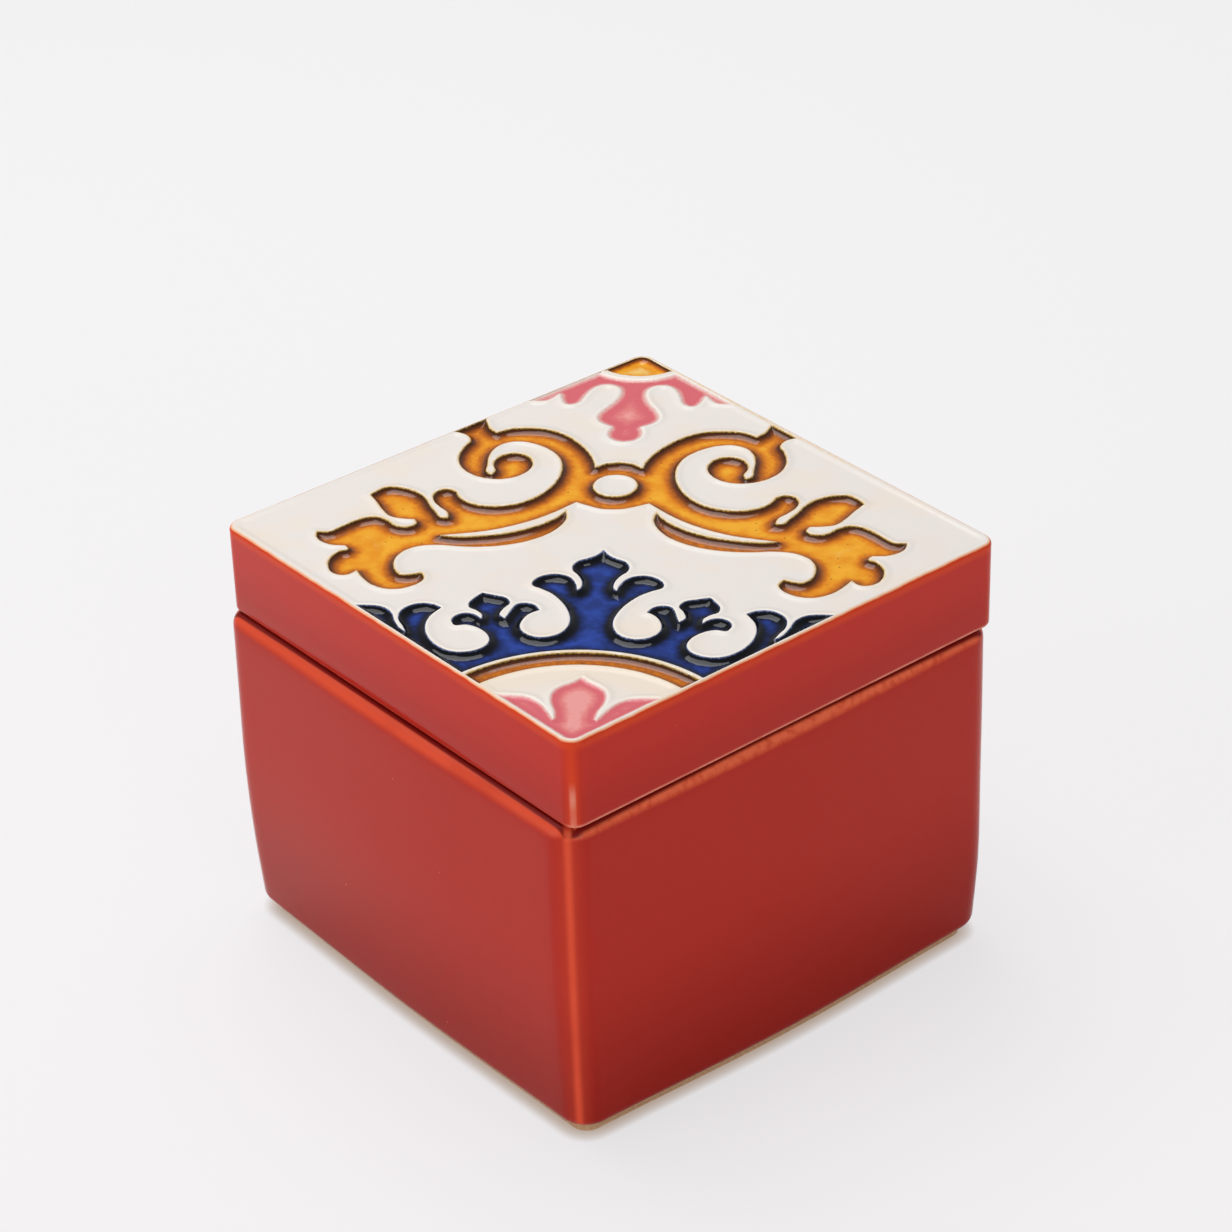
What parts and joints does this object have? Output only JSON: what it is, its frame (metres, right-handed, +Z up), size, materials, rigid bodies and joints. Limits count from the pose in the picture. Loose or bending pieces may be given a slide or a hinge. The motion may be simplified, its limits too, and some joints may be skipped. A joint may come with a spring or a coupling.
{
  "type": "ceramic box with lid",
  "caption": "Square glazed ceramic box with a loose lift-off lid; scrolls and a palmette sunk in relief on the lid's top.",
  "frame": {"origin": "on the surface that the box stands on, under the middle of the pot", "axes": "+Z up; the four walls face +X, -X, +Y and -Y; the corner of the tile's pattern with the bud is at +X -Y"},
  "size_m": [0.1034, 0.1034, 0.0854],
  "materials": {
    "red_glaze": "gloss red glaze on earthenware",
    "cream_glaze": "gloss cream glaze on earthenware, red on the sides",
    "amber_glaze": "transparent amber glaze over a pale body",
    "cobalt_glaze": "transparent cobalt glaze over a pale body",
    "rose_glaze": "opaque rose glaze",
    "bare_earthenware": "unglazed fired clay"
  },
  "bodies": {
    "base": {"pot": "red_glaze"},
    "lid": {"lid": "cream_glaze", "amber_scroll_glaze": "amber_glaze", "amber_ring_glaze": "amber_glaze", "amber_corner_glaze": "amber_glaze", "cobalt_palmette_glaze": "cobalt_glaze", "rose_bud_glaze": "rose_glaze", "rose_pendant_glaze": "rose_glaze"}
  },
  "joints": [
    {"name": "lid_lift", "type": "slide", "parent": "base", "child": "lid", "axis": [0, 0, 1], "range_m": [0, 0.06]}
  ]
}
